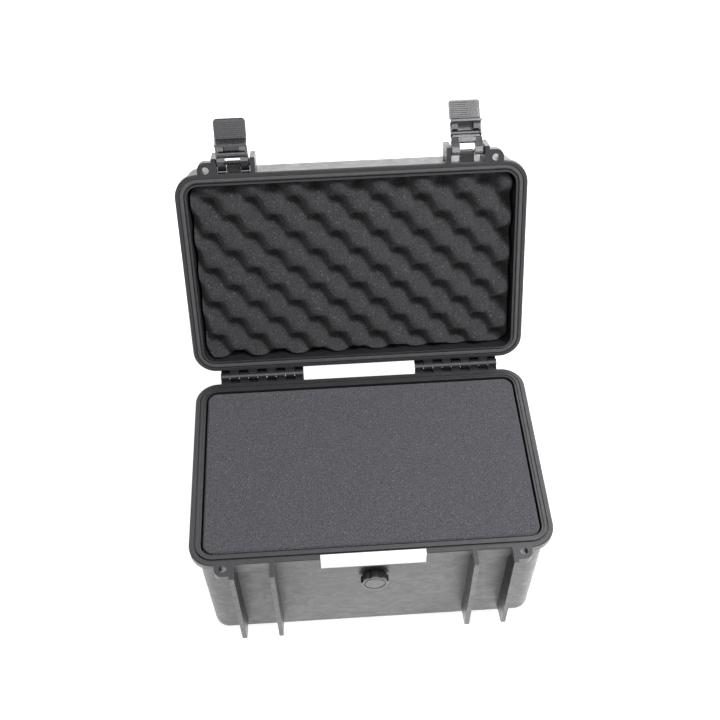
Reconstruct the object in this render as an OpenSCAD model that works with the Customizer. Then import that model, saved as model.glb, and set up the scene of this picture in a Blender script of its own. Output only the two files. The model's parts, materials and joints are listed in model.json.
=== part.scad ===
// Small moulded equipment case with a hinged lid, two over-centre latches and a pressure valve.
// The origin is the centre of the base's underside. +X is right, +Y is the hinge side, +Z is up.
// The lid stands open on its stop and the two latches hang at the angles of the photographed case.

/* [Case] */
// Width across the sealing rim
rim_w = 300; // [260:1:360]
// Depth across the sealing rim
rim_d = 185; // [160:1:240]
// Height of the base from the floor to the rim
base_h = 134; // [120:1:180]
// Height of the lid from the rim to its top
lid_h = 44; // [38:1:60]
// Corner radius of the rim seen from above
rim_corner_r = 20; // [17:1:30]
// Thickness of the moulded walls
wall = 4; // [3:0.5:5]
// How far the base's walls stand in from the rim's outer edge
wall_inset = 5.6; // [5:0.1:8]
// How far the lid's walls stand in from the rim's outer edge
lid_inset = 4.2; // [3.8:0.1:6]
// How far each wall of the base draws in from rim to floor
base_draft = 1.5; // [0.5:0.1:4]
// How far each wall of the lid draws in from rim to top
lid_draft = 0.8; // [0.3:0.1:3]
// Rounding of the base's bottom edge
bottom_r = 6; // [3:0.5:8]
// Rounding of the lid's top edge
lid_top_r = 5; // [3:0.5:9]

/* [Rim] */
// Thickness of the base's rim flange
base_flange_t = 7.5; // [6:0.5:10]
// Thickness of the lid's rim flange
lid_flange_t = 6.5; // [5:0.5:9]
// Chamfer on the flanges' outer edges
flange_chamfer = 0.8; // [0.3:0.1:1.5]
// Gap between the two rims when closed
rim_gap = 0.3; // [0.2:0.1:0.8]
// Width of the flat outer land of the base's rim
land_w = 4.2; // [3.5:0.1:5]
// Width of the channel inside that land
channel_w = 1.2; // [0.8:0.1:1.6]
// Depth of the channel
channel_depth = 1; // [0.5:0.1:2]
// Width of the sealing tongue
tongue_w = 2.2; // [1.4:0.1:2.4]
// Height of the tongue above the rim
tongue_h = 0.8; // [0.5:0.1:1.5]
// Distance from the lid's outer edge to the gasket
gasket_in = 3.4; // [3:0.1:4]
// Width of the gasket
gasket_w = 3.9; // [3.5:0.1:4.5]
// Thickness of the gasket
gasket_t = 2.1; // [1.5:0.1:3]
// Gap between the gasket and the lid's lip
gasket_gap = 0.9; // [0.5:0.1:1.2]
// Width of the lid's inner lip beside the gasket
lip_w = 1.6; // [0.8:0.1:2]

/* [Hinges] */
// How far the lid stands open
lid_open = 114.2; // [90:0.1:120]
// Distance from the rim's side to the middle of each hinge
hinge_inset = 60.6; // [55:0.2:70]
// Length of each hinge
hinge_len = 76; // [50:1:90]
// Distance of the hinge axis behind the rim
hinge_back = 6.5; // [6:0.1:9]
// Height of the hinge axis above the rim
hinge_rise = 1.5; // [0.5:0.1:3]
// Radius of the knuckles
knuckle_r = 3.5; // [3:0.1:4]
// Gap between neighbouring knuckles
knuckle_gap = 0.4; // [0.3:0.1:1]
// Radius of the steel hinge pins
hinge_pin_r = 1.5; // [1.2:0.1:1.8]
// Radial clearance of a pin that turns in its hole
run_gap = 0.07; // [0.03:0.01:0.1]
// Radial clearance of a pin that is held in its hole
hold_gap = 0.02; // [0.01:0.01:0.05]

/* [Latch guards and eyes] */
// Distance from the rim's side to the middle of each latch
latch_inset = 51.5; // [48:0.5:58]
// Clear width between the two guards of a latch
guard_span = 28.4; // [27.6:0.1:34]
// Thickness of the guards
guard_t = 4; // [3:0.5:5]
// How far the guards stand out from the rim
guard_out = 13.2; // [12:0.1:16]
// Height of the guards' front edge on the base
guard_h = 114; // [80:1:114]
// How much further down the guards reach at the wall
guard_run_out = 8; // [3:1:10]
// Height of the guards on the lid
lid_guard_h = 26; // [22:0.5:28]
// Distance from a latch's middle to its padlock eye
eye_offset = 23.5; // [22:0.5:28]
// How far the padlock eyes stand in front of the rim
eye_out = 3.3; // [2:0.1:6]
// Radius of the padlock holes
eye_hole_r = 3; // [2:0.1:3.5]
// Radius of the eyes' rounded end
eye_r = 7; // [6:0.1:8]

/* [Latches] */
// How far the lid pivot stands in front of the rim
pivot_out = 7; // [6:0.1:8]
// Height of the lid pivot above the rim
pivot_up = 9.8; // [9:0.1:12]
// Distance from the lid pivot to the lever pivot
link_len = 15.5; // [15:0.1:17]
// Distance from the lever pivot to the lever's tip
lever_len = 29; // [26:0.5:36]
// Width of the latch
latch_w = 26.3; // [25:0.1:26.6]
// Tilt of the link when the latch is closed
link_shut = -4; // [-6:0.5:0]
// Tilt of the left link as photographed
left_link_tilt = 42; // [0:1:125]
// Tilt of the left lever as photographed
left_lever_tilt = 94; // [60:1:130]
// Tilt of the right link as photographed
right_link_tilt = 117; // [60:1:130]
// Tilt of the right lever as photographed
right_lever_tilt = 121; // [64:1:150]
// Radius of the latch pins
latch_pin_r = 1.5; // [1:0.1:1.6]
// Width of each arm of the link
arm_w = 6.8; // [5:0.1:8]
// Thickness of the lever's side walls
cheek_t = 1.6; // [1.2:0.1:2]
// Number of grip ridges on each face of the lever
grip_ridges = 8; // [4:1:9]
// Depth of the catch block under the rim
catch_depth = 13; // [12:0.1:13]

/* [Valve] */
// Sideways place of the valve
valve_x = 1; // [-20:1:20]
// Depth of the valve's middle below the rim
valve_drop = 43; // [40:1:48]
// Radius of the valve knob
knob_r = 11.8; // [10:0.1:14]
// Thickness of the valve knob
knob_t = 6.2; // [5:0.1:9]
// Number of finger scallops round the knob
knob_scallops = 8; // [6:1:12]
// Radius of the valve's threaded body
valve_body_r = 6.5; // [6:0.1:7.5]
// Radius of the knob's stem
stem_r = 4; // [3.5:0.1:4.3]
// How far the knob lifts when it is unscrewed
valve_lift = 1.5; // [0.5:0.1:1.5]

/* [Name plate] */
// Width of the blank front plate
plate_w = 86; // [60:1:100]
// Height of the plate below the rim
plate_h = 14; // [10:0.5:17]
// Thickness of the plate
plate_t = 0.8; // [0.6:0.1:1]
// Width of the pad behind the plate
pad_w = 115; // [110:1:125]
// Height of the pad below the rim
pad_h = 20; // [18:0.5:24]

/* [Foam] */
// Gap between the foam blocks and the walls
foam_gap = 1.6; // [0.5:0.1:3]
// How far the foam stands below the rim
foam_drop = 0.5; // [0.5:0.5:10]
// Thickness of the top foam block
foam_top_t = 62; // [60:1:70]
// Thickness of the pad on the floor
foam_pad_t = 10; // [5:1:20]
// Pitch of the lid foam's bumps from side to side
bump_pitch_x = 36.6; // [25:0.1:50]
// Pitch of the lid foam's bumps from front to back
bump_pitch_y = 32.5; // [25:0.1:50]
// How far the rows of bumps run askew
bump_skew = 1.8; // [-5:0.1:5]
// Height of the bumps from pit to peak
bump_h = 16; // [6:0.5:20]
// How far the peaks stay inside the lid's rim
bump_drop = 4; // [2:0.5:8]

/* [Handle] */
// Width of the carrying handle between its leg centres
handle_w = 112; // [90:1:130]
// Distance from the handle's pivots to the middle of the grip
handle_reach = 34; // [30:1:45]
// Distance of the pivots in front of the lid's middle
handle_pivot_y = 18; // [10:1:30]
// Height of the pivots above the lid
handle_pivot_up = 7.6; // [7.2:0.1:9]
// Radius of the soft grip
grip_r = 6.5; // [5.5:0.1:6.8]
// Length of the soft grip
grip_len = 88; // [60:1:96]

/* [Hidden] */
$fn = 48;

// Places that several pieces share
front_y = -rim_d / 2;
back_y = rim_d / 2;
hinge_x = rim_w / 2 - hinge_inset;
latch_x = rim_w / 2 - latch_inset;
lid_z = base_h + rim_gap;
lid_top_z = base_h + lid_h;
hinge_y = back_y + hinge_back;
hinge_z = base_h + hinge_rise;
wall_top_in = wall_inset + wall;
wall_bottom_in = wall_inset + base_draft + wall;
gasket_sink = tongue_h - rim_gap + 0.1;
groove_out = gasket_in + gasket_w + gasket_gap;
groove_depth = gasket_sink + gasket_t;
lid_lip_in = groove_out + lip_w;
knuckle_len = (hinge_len - 8 * knuckle_gap) / 9;
eye_x = latch_x + eye_offset;
eye_y = front_y - eye_out;
guard_root_y = front_y + wall_inset + base_draft + 1;
pivot_y = front_y - pivot_out;
pivot_z = base_h + pivot_up;
overlap = 1;
inner_r = 1.8;
big = 400;

// Draft angle of the base's wall, and the wall's inset at a depth below the rim
base_lean = atan(base_draft / base_h);
lid_lean = atan(lid_draft / lid_h);
function wall_in(drop) = wall_inset + base_draft * drop / base_h;

// Distance from the centre of the rim's corner to a line that runs a given inset from the edge
function rim_r(inset) = rim_corner_r - inset;
function ray(a, r) = [r * cos(a), r * sin(a)];

// Rounds one convex corner of a flat shape, between the directions a0 and a1 from the centre c
module rounded(c, r, a0, a1) {
    difference() {
        children();
        difference() {
            polygon([c, c + ray(a0, r + 1), c + ray((a0 + a1) / 2, 2 * r + 1), c + ray(a1, r + 1)]);
            translate(c) circle(r);
        }
    }
}

// Runs a flat section, drawn from the corner's centre outwards, once round the rim
module around_rim() {
    for (k = [0:3]) {
        half_a = (k % 2 == 0 ? rim_w : rim_d) / 2 - rim_corner_r;
        half_b = (k % 2 == 0 ? rim_d : rim_w) / 2 - rim_corner_r;
        rotate([0, 0, 90 * k]) {
            translate([half_a, half_b, 0]) rotate_extrude(angle = 90) children();
            translate([-half_a, half_b, 0]) rotate([90, 0, 90]) linear_extrude(2 * half_a) children();
        }
    }
}

// Fills the middle that around_rim leaves open
module core(z0, z1) {
    translate([-(rim_w / 2 - rim_corner_r), -(rim_d / 2 - rim_corner_r), z0])
        cube([rim_w - 2 * rim_corner_r, rim_d - 2 * rim_corner_r, z1 - z0]);
}

// Runs a flat (y, z) section from x0 to x0 + len
module across(x0, len) {
    translate([x0, 0, 0]) rotate([90, 0, 90]) linear_extrude(len) children();
}

module bar_x(x0, len, y, z, r) {
    translate([x0, y, z]) rotate([0, 90, 0]) cylinder(h = len, r = r);
}

module both_sides() {
    children();
    mirror([1, 0, 0]) children();
}

// Turns what is drawn on the closed case with the lid to its open place
module open_with_lid() {
    translate([0, hinge_y, hinge_z]) rotate([-lid_open, 0, 0]) translate([0, -hinge_y, -hinge_z]) children();
}

// ---------- base ----------

module base_outside() {
    low = rim_r(wall_inset + base_draft);
    top = base_h - base_flange_t / 2;
    centre = [low - bottom_r * (1 - sin(base_lean)) / cos(base_lean), bottom_r];
    rounded(centre, bottom_r, -90, -base_lean)
        polygon([[0, 0], [low, 0], [rim_r(wall_in(base_flange_t / 2)), top], [0, top]]);
}

module base_inside() {
    r = inner_r;
    low = rim_r(wall_bottom_in);
    centre = [low - r * (1 - sin(base_lean)) / cos(base_lean), wall + r];
    rounded(centre, r, -90, -base_lean)
        polygon([
            [0, wall], [low, wall], [rim_r(wall_top_in), base_h], [rim_r(wall_top_in), base_h + 3], [0, base_h + 3]
        ]);
}

module base_rim() {
    c = flange_chamfer;
    low = base_h - base_flange_t;
    channel_in = land_w + channel_w;
    polygon([
        [rim_r(c), low], [rim_r(0), low + c], [rim_r(0), base_h - c], [rim_r(c), base_h],
        [rim_r(land_w), base_h], [rim_r(land_w), base_h - channel_depth],
        [rim_r(channel_in), base_h - channel_depth], [rim_r(channel_in), base_h + tongue_h],
        [rim_r(channel_in + tongue_w), base_h + tongue_h], [rim_r(channel_in + tongue_w), base_h],
        [rim_r(wall_top_in + overlap), base_h], [rim_r(wall_top_in + overlap), low]
    ]);
}

// Guard rib beside a latch, with a run-out that leans back to the wall
module base_guard(x) {
    low = base_h - guard_h;
    front = front_y - guard_out;
    across(x - guard_t / 2, guard_t)
        rounded([front + 3, low + 2], 3, 180, 270)
            polygon([
                [front, low - 1], [guard_root_y, low - guard_run_out],
                [guard_root_y, base_h - base_flange_t / 2], [front_y + 2, base_h - base_flange_t / 2],
                [front_y + 2, base_h], [front, base_h]
            ]);
}

module eye_blank(z, t) {
    translate([eye_x, eye_y, z]) cylinder(h = t, r = eye_r);
    translate([latch_x + guard_span / 2, eye_y - eye_r, z])
        cube([eye_offset - guard_span / 2, eye_r + eye_out + 2, t]);
    translate([latch_x + guard_span / 2, eye_y, z])
        cube([eye_offset - guard_span / 2 + eye_r, eye_out + 2, t]);
}

module eye_hole() {
    translate([eye_x, eye_y, -1]) cylinder(h = big, r = eye_hole_r);
}

// Block under the rim that the lever's nose hooks behind
module catch_block() {
    low = base_h - catch_depth;
    across(latch_x - guard_span / 2 - guard_t / 2, guard_span + guard_t)
        polygon([
            [front_y, base_h - base_flange_t / 2], [front_y, low], [guard_root_y, low],
            [guard_root_y, base_h - base_flange_t / 2]
        ]);
}

// Flat pad behind the blank plate, under the rim
module plate_pad() {
    low = base_h - pad_h;
    across(-pad_w / 2, pad_w)
        polygon([
            [front_y, base_h - base_flange_t / 2], [front_y, low + 3], [front_y + 2, low],
            [guard_root_y, low], [guard_root_y, base_h - base_flange_t / 2]
        ]);
}

function knuckle_x(i) = hinge_x - hinge_len / 2 + i * (knuckle_len + knuckle_gap);

module base_knuckles() {
    for (i = [0:2:8]) {
        bar_x(knuckle_x(i), knuckle_len, hinge_y, hinge_z, knuckle_r);
        across(knuckle_x(i), knuckle_len)
            polygon([
                [back_y - overlap, base_h - base_flange_t + 1], [back_y - overlap, base_h - 0.6],
                [hinge_y - knuckle_r * 0.6, base_h - 0.6], [hinge_y, hinge_z],
                [hinge_y + knuckle_r * 0.7, hinge_z - knuckle_r * 0.7], [back_y + 1, base_h - base_flange_t + 1]
            ]);
    }
    tray = hinge_z - knuckle_r - 0.5;
    across(hinge_x - hinge_len / 2, hinge_len)
        polygon([
            [back_y - overlap, tray - 3], [back_y - overlap, tray], [hinge_y, tray], [hinge_y, tray - 1.5],
            [back_y + 1.5, tray - 3.5]
        ]);
}

// Shallow seats under the base that take the stacking feet of a lid below
foot_x = rim_w / 2 - 42;
foot_y = rim_d / 2 - 36;
foot_w = 26;
foot_d = 14;
foot_t = 1.4;

module foot_pads(z, t, grow) {
    for (sx = [-1, 1], sy = [-1, 1])
        translate([sx * foot_x - foot_w / 2 - grow, sy * foot_y - foot_d / 2 - grow, z])
            cube([foot_w + 2 * grow, foot_d + 2 * grow, t]);
}

// Flat seat on the wall for the valve, at a height given in front of the wall
valve_z = base_h - valve_drop;
valve_seat_y = front_y + wall_inset - 0.4;
valve_flange_t = 1.6;
valve_inner_y = front_y + wall_in(valve_drop) + wall + 0.6;
knob_back_y = valve_seat_y - valve_flange_t - 0.3;

module valve_axis(y) {
    translate([valve_x, y, valve_z]) rotate([90, 0, 0]) children();
}

module base_shell() {
    color("#26272b")
    difference() {
        union() {
            difference() {
                union() {
                    around_rim() base_outside();
                    core(0, base_h - base_flange_t / 2);
                    around_rim() base_rim();
                }
                around_rim() base_inside();
                core(wall, base_h + 3);
            }
            both_sides() {
                base_guard(latch_x - guard_span / 2 - guard_t / 2);
                base_guard(latch_x + guard_span / 2 + guard_t / 2);
                eye_blank(base_h - base_flange_t, base_flange_t);
                catch_block();
                base_knuckles();
            }
            plate_pad();
            valve_axis(valve_inner_y) cylinder(h = valve_inner_y - valve_seat_y, r = knob_r + 1);
        }
        both_sides() {
            eye_hole();
            bar_x(hinge_x - hinge_len / 2 - 1, hinge_len + 2, hinge_y, hinge_z, hinge_pin_r + hold_gap);
        }
        valve_axis(valve_inner_y + 1) cylinder(h = 20, r = valve_body_r + hold_gap);
        translate([-plate_w / 2 - 0.2, front_y - 1, base_h - plate_t])
            cube([plate_w + 0.4, land_w + 0.9, plate_t + 1]);
        foot_pads(-1, foot_t + 1.4, 0.5);
    }
}

// ---------- lid, drawn on the closed case ----------

module lid_outside() {
    low = lid_z + lid_flange_t - overlap;
    top = rim_r(lid_inset + lid_draft);
    centre = [top - lid_top_r * (1 - sin(lid_lean)) / cos(lid_lean), lid_top_z - lid_top_r];
    rounded(centre, lid_top_r, lid_lean, 90)
        polygon([[0, low], [rim_r(lid_inset), low], [top, lid_top_z], [0, lid_top_z]]);
}

module lid_inside() {
    r = inner_r;
    top_z = lid_top_z - wall;
    top = rim_r(lid_lip_in + lid_draft);
    centre = [top - r * (1 - sin(lid_lean)) / cos(lid_lean), top_z - r];
    rounded(centre, r, lid_lean, 90)
        polygon([[0, base_h - 1], [rim_r(lid_lip_in), base_h - 1], [top, top_z], [0, top_z]]);
}

module lid_rim() {
    c = flange_chamfer;
    top = lid_z + lid_flange_t;
    polygon([
        [rim_r(c), lid_z], [rim_r(0), lid_z + c], [rim_r(0), top - c], [rim_r(c), top],
        [rim_r(lid_lip_in + overlap), top], [rim_r(lid_lip_in + overlap), lid_z],
        [rim_r(groove_out), lid_z], [rim_r(groove_out), lid_z + groove_depth],
        [rim_r(gasket_in), lid_z + groove_depth], [rim_r(gasket_in), lid_z]
    ]);
}

module gasket_section() {
    top = lid_z + groove_depth;
    face = top - gasket_t;
    outer = gasket_in + 0.05;
    inner = gasket_in + gasket_w;
    polygon([
        [rim_r(outer), top], [rim_r(inner), top], [rim_r(inner), face + 0.8], [rim_r(inner - 0.3), face + 0.3],
        [rim_r(inner - 0.9), face], [rim_r(outer + 0.9), face], [rim_r(outer + 0.3), face + 0.3],
        [rim_r(outer), face + 0.8]
    ]);
}

module lid_guard(x) {
    front = front_y - guard_out;
    root = front_y + lid_inset + 1.5;
    flange = lid_z + lid_flange_t - overlap;
    curve_r = 7;
    across(x - guard_t / 2, guard_t)
        rounded([front + curve_r, lid_z + lid_guard_h - curve_r], curve_r, 90, 180)
            polygon([[front, lid_z], [front_y + 1.5, lid_z], [front_y + 1.5, flange],
                [root, flange], [root, lid_z + lid_guard_h], [front, lid_z + lid_guard_h]]);
}

// Block between a link's two arms, which keeps the link from sliding sideways
module latch_boss() {
    boss_w = latch_w - 2 * arm_w - 1.2;
    foot = lid_z + lid_flange_t - overlap;
    root = front_y + lid_inset + 1.5;
    across(latch_x - boss_w / 2, boss_w)
        polygon([
            [pivot_y - 1, foot + 1], [pivot_y, foot], [root, foot], [root, pivot_z + 4], [pivot_y, pivot_z + 4],
            [pivot_y - 1, pivot_z + 3]
        ]);
}

module lid_knuckles() {
    for (i = [1:2:7]) {
        bar_x(knuckle_x(i), knuckle_len, hinge_y, hinge_z, knuckle_r);
        across(knuckle_x(i), knuckle_len)
            polygon([
                [back_y - overlap, lid_z + 0.6], [back_y - overlap, lid_z + lid_flange_t - 0.8],
                [hinge_y, hinge_z + knuckle_r * 0.98], [hinge_y + knuckle_r * 0.5, hinge_z],
                [hinge_y - knuckle_r * 0.5, lid_z + 0.6]
            ]);
    }
    cover = hinge_z + knuckle_r + 0.4;
    across(hinge_x - hinge_len / 2, hinge_len)
        polygon([
            [back_y - 2, lid_z + lid_flange_t - 1.4], [back_y - 0.5, lid_z + lid_flange_t - 1.4],
            [hinge_y - 3, cover], [hinge_y + 1, cover], [hinge_y + 1, cover + 1.4], [back_y - 2, cover + 1.4]
        ]);
}

// Handle pivots on the lid
handle_axis_y = -handle_pivot_y;
handle_axis_z = lid_top_z + handle_pivot_up;
leg_w = 11;
leg_t = 8;
lug_t = 4;
lug_gap = 0.4;
lug_r = 5.5;
handle_pin_r = 2;

module handle_lug(x) {
    bar_x(x, lug_t, handle_axis_y, handle_axis_z, lug_r);
    across(x, lug_t)
        polygon([
            [handle_axis_y - lug_r - 3, lid_top_z - 1], [handle_axis_y + lug_r + 3, lid_top_z - 1],
            [handle_axis_y + lug_r, handle_axis_z], [handle_axis_y - lug_r, handle_axis_z]
        ]);
}

module lid_shell_shut() {
    difference() {
        union() {
            difference() {
                union() {
                    around_rim() lid_outside();
                    core(lid_z + lid_flange_t - overlap, lid_top_z);
                    around_rim() lid_rim();
                }
                around_rim() lid_inside();
                core(base_h - 1, lid_top_z - wall);
            }
            both_sides() {
                lid_guard(latch_x - guard_span / 2 - guard_t / 2);
                lid_guard(latch_x + guard_span / 2 + guard_t / 2);
                latch_boss();
                eye_blank(lid_z, lid_flange_t);
                lid_knuckles();
                handle_lug(handle_w / 2 - leg_w / 2 - lug_gap - lug_t);
                handle_lug(handle_w / 2 + leg_w / 2 + lug_gap);
            }
            foot_pads(lid_top_z - 1, foot_t + 1, 0);
        }
        both_sides() {
            eye_hole();
            bar_x(hinge_x - hinge_len / 2 - 1, hinge_len + 2, hinge_y, hinge_z, hinge_pin_r + run_gap);
            bar_x(latch_x - guard_span / 2 - guard_t - 1, guard_span + 2 * guard_t + 2, pivot_y, pivot_z,
                latch_pin_r + hold_gap);
            bar_x(handle_w / 2 - leg_w, 2 * leg_w, handle_axis_y, handle_axis_z, handle_pin_r + hold_gap);
        }
    }
}

module lid_shell() {
    color("#242529") open_with_lid() lid_shell_shut();
}

module lid_gasket() {
    color("#3a3a3c") open_with_lid() around_rim() gasket_section();
}

module hinge_pin_right() {
    color("#c8c8c4") bar_x(hinge_x - hinge_len / 2 + 0.5, hinge_len - 1, hinge_y, hinge_z, hinge_pin_r);
}

module hinge_pin_left() {
    mirror([1, 0, 0]) hinge_pin_right();
}

// ---------- latches ----------
// Each is drawn about its lid pivot, hanging straight down, with its inner face towards +Y.

barrel_r = 3.3;
eyelet_r = 2.3;
arm_t = 3.2;
neck = 3.6;
pivot_play = 0.3;

module place_latch(side, tilt) {
    open_with_lid() translate([side * latch_x, pivot_y, pivot_z]) rotate([-tilt, 0, 0]) children();
}

// The lever pivot sits at the end of the link and the lever has a tilt of its own
module place_lever(side, link_tilt, lever_tilt) {
    place_latch(side, link_tilt)
        translate([0, 0, -link_len]) rotate([link_tilt - lever_tilt, 0, 0]) children();
}

// Side outline of the link's arms: barrel, heel towards the lid's wall, and the shoulder of the neck
module link_arm() {
    circle(barrel_r);
    polygon([
        [-arm_t / 2, 0], [-arm_t / 2, -link_len + neck], [arm_t / 2, -link_len + neck],
        [4.6, -link_len + neck + 1.3], [6.2, -5.5], [7, -2], [7, 2.2], [6.6, 3], [5.8, 3.6], [1, 3.2]
    ]);
}

module link_body() {
    inner_w = latch_w - 2 * cheek_t - 2 * pivot_play;
    pivot_w = guard_span - 2 * pivot_play;
    web_w = latch_w - 2 * arm_w + 2;
    difference() {
        union() {
            both_sides() {
                bar_x(pivot_w / 2 - arm_w, arm_w, 0, 0, barrel_r);
                across(latch_w / 2 - arm_w, arm_w) link_arm();
            }
            translate([-inner_w / 2, -arm_t / 2 + 0.3, -link_len]) cube([inner_w, arm_t - 0.6, neck + 0.5]);
            translate([-web_w / 2, 4, -link_len + neck + 1.3]) cube([web_w, 1.5, link_len - neck - 8.1]);
            translate([-web_w / 2, -arm_t / 2, -link_len + neck]) cube([web_w, 1.3, link_len - neck - 7]);
            bar_x(-inner_w / 2, inner_w, 0, -link_len, eyelet_r);
        }
        bar_x(-latch_w, 2 * latch_w, 0, 0, latch_pin_r + run_gap);
        bar_x(-latch_w, 2 * latch_w, 0, -link_len, latch_pin_r + run_gap);
    }
}

// Where the lever's pivot comes to on the closed case, and where the nose must reach from there
shut_out = pivot_out + link_len * sin(link_shut);
shut_down = link_len * cos(link_shut) - pivot_up;
hook_gap = 0.25;
nose_high = catch_depth + hook_gap - shut_down;
nose_low = nose_high + 4.3;
nose_reach = shut_out + 3;
face_y = -3.2;
grip_y = 0.6;
ridge_pitch = 1.75;
ridge_h = 0.6;

// Outline of the lever's side walls
module lever_cheek() {
    circle(3.2);
    polygon([[face_y, 0], [2.6, 0], [2.6, -nose_high - 1], [grip_y, -nose_low - 1.5],
        [face_y, -nose_low - 1.5]]);
}

// Rounded outline of the lever seen from the front, standing on its tip
module lever_front_outline() {
    corner = 3;
    union() {
        both_sides() translate([latch_w / 2 - corner, 10, -lever_len + corner])
            rotate([90, 0, 0]) cylinder(h = 20, r = corner);
        translate([-latch_w / 2, -10, -lever_len + corner]) cube([latch_w, 20, lever_len]);
        translate([-latch_w / 2 + corner, -10, -lever_len]) cube([latch_w - 2 * corner, 20, lever_len]);
    }
}

module ridges(y, first) {
    for (i = [0:grip_ridges - 1])
        translate([-latch_w / 2 + 2, y, -lever_len + first + i * ridge_pitch])
            cube([latch_w - 4, ridge_h + 0.2, ridge_pitch / 2]);
}

module lever_body() {
    inner_w = latch_w - 2 * cheek_t;
    skin_y = face_y + 1.3;
    skin_top = 1.8;
    difference() {
        union() {
            both_sides() across(inner_w / 2, cheek_t) lever_cheek();
            across(-latch_w / 2, latch_w)
                polygon([
                    [face_y, -skin_top], [skin_y, -skin_top], [skin_y, -nose_low - 1], [face_y, -nose_low - 1]
                ]);
            across(-latch_w / 2, latch_w)
                polygon([[face_y, -nose_high], [nose_reach, -nose_high], [nose_reach, -nose_high - 1.8],
                    [grip_y + 2, -nose_low], [grip_y, -nose_low - 1], [face_y, -nose_low - 1]]);
            both_sides() across(latch_w / 4, inner_w / 2 - latch_w / 4 + 0.5)
                polygon([[face_y + 0.5, -eyelet_r - 0.5], [2.6, -eyelet_r - 0.5], [4, -nose_high + 1],
                    [4, -nose_high - 1], [face_y + 0.5, -nose_high - 1]]);
            intersection() {
                union() {
                    across(-latch_w / 2, latch_w)
                        polygon([[face_y + 0.5, -nose_low + 1], [grip_y, -nose_low + 1],
                            [grip_y, -lever_len + 1.2], [grip_y - 1, -lever_len],
                            [face_y + 1.3, -lever_len], [face_y + 0.5, -lever_len + 0.8]]);
                    ridges(grip_y - 0.2, 2);
                    ridges(face_y + 0.5 - ridge_h, 2);
                }
                lever_front_outline();
            }
        }
        bar_x(-latch_w, 2 * latch_w, 0, 0, latch_pin_r + hold_gap);
    }
}

module pivot_pins() {
    pin_len = guard_t + arm_w - 1;
    both_sides() bar_x(guard_span / 2 + guard_t - pin_len - 0.3, pin_len, 0, 0, latch_pin_r);
}

module lever_pin() {
    bar_x(-latch_w / 2 + 0.1, latch_w - 0.2, 0, 0, latch_pin_r);
}

module latch_left_link() {
    color("#303034") place_latch(-1, left_link_tilt) link_body();
}
module latch_right_link() {
    color("#303034") place_latch(1, right_link_tilt) link_body();
}
module latch_left_lever() {
    color("#35353a") place_lever(-1, left_link_tilt, left_lever_tilt) lever_body();
}
module latch_right_lever() {
    color("#35353a") place_lever(1, right_link_tilt, right_lever_tilt) lever_body();
}
module latch_left_pivot_pins() {
    color("#c8c8c4") place_latch(-1, 0) pivot_pins();
}
module latch_right_pivot_pins() {
    color("#c8c8c4") place_latch(1, 0) pivot_pins();
}
module latch_left_lever_pin() {
    color("#c8c8c4") place_lever(-1, left_link_tilt, left_lever_tilt) lever_pin();
}
module latch_right_lever_pin() {
    color("#c8c8c4") place_lever(1, right_link_tilt, right_lever_tilt) lever_pin();
}

// ---------- valve ----------

nut_t = 4;
stem_bore_depth = 9;
oring_r = 0.9;

module valve_body() {
    shank = valve_inner_y - valve_seat_y + nut_t + 1;
    color("#2c2c2f")
    difference() {
        union() {
            valve_axis(valve_seat_y) cylinder(h = valve_flange_t, r = knob_r - 1.6);
            valve_axis(valve_seat_y + shank) cylinder(h = shank, r = valve_body_r);
        }
        valve_axis(valve_seat_y + stem_bore_depth) cylinder(h = 20, r = stem_r + run_gap);
        valve_axis(valve_seat_y + shank + 1) cylinder(h = 20, r = 2);
    }
}

module valve_nut() {
    color("#9a9a9c")
    difference() {
        valve_axis(valve_inner_y + nut_t) cylinder(h = nut_t, r = valve_body_r + 4, $fn = 6);
        valve_axis(valve_inner_y + nut_t + 1) cylinder(h = nut_t + 2, r = valve_body_r + hold_gap);
    }
}

module valve_membrane() {
    color("#e8e8e4")
    valve_axis(valve_seat_y + stem_bore_depth) cylinder(h = 0.4, r = stem_r);
}

module valve_oring() {
    color("#1c1c1c")
    valve_axis(knob_back_y - 0.75) rotate_extrude() translate([stem_r + oring_r + 0.15, 0]) circle(oring_r, $fn = 24);
}

module valve_knob() {
    face_y = knob_back_y - knob_t;
    color("#2f3033")
    difference() {
        union() {
            difference() {
                valve_axis(knob_back_y) rotate_extrude()
                    polygon([[0, 0], [knob_r, 0], [knob_r, knob_t - 0.8], [knob_r - 0.8, knob_t], [0, knob_t]]);
                for (i = [0:knob_scallops - 1])
                    valve_axis(knob_back_y + 1) rotate([0, 0, 360 / knob_scallops * (i + 0.5)])
                        translate([knob_r + 2, 0, 0]) cylinder(h = knob_t + 2, r = 3.2);
                valve_axis(face_y + 0.7) difference() {
                    cylinder(h = 2, r = knob_r - 2.6);
                    translate([0, 0, -1]) cylinder(h = 4, r = knob_r - 3.6);
                }
            }
            valve_axis(valve_seat_y + stem_bore_depth - valve_lift - 1)
                cylinder(h = stem_bore_depth - valve_lift + knob_t, r = stem_r);
        }
        valve_axis(knob_back_y + 0.01) difference() {
            cylinder(h = 1.71, r = stem_r + 2 * oring_r + 0.45);
            translate([0, 0, -1]) cylinder(h = 4, r = stem_r);
        }
    }
}

// ---------- blank plate ----------

module label_plate() {
    color("#f4f4f2")
    union() {
        translate([-plate_w / 2, front_y - plate_t, base_h - plate_h]) cube([plate_w, plate_t, plate_h]);
        translate([-plate_w / 2, front_y - plate_t, base_h - plate_t]) cube([plate_w, plate_t + land_w - 0.2, plate_t]);
    }
}

// ---------- foam ----------

module foam_block(z0, z1) {
    low_in = wall_in(base_h - z0) + wall + foam_gap;
    top_in = wall_in(base_h - z1) + wall + foam_gap;
    around_rim() polygon([[0, z0], [rim_r(low_in), z0], [rim_r(top_in), z1], [0, z1]]);
    core(z0, z1);
}

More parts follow.
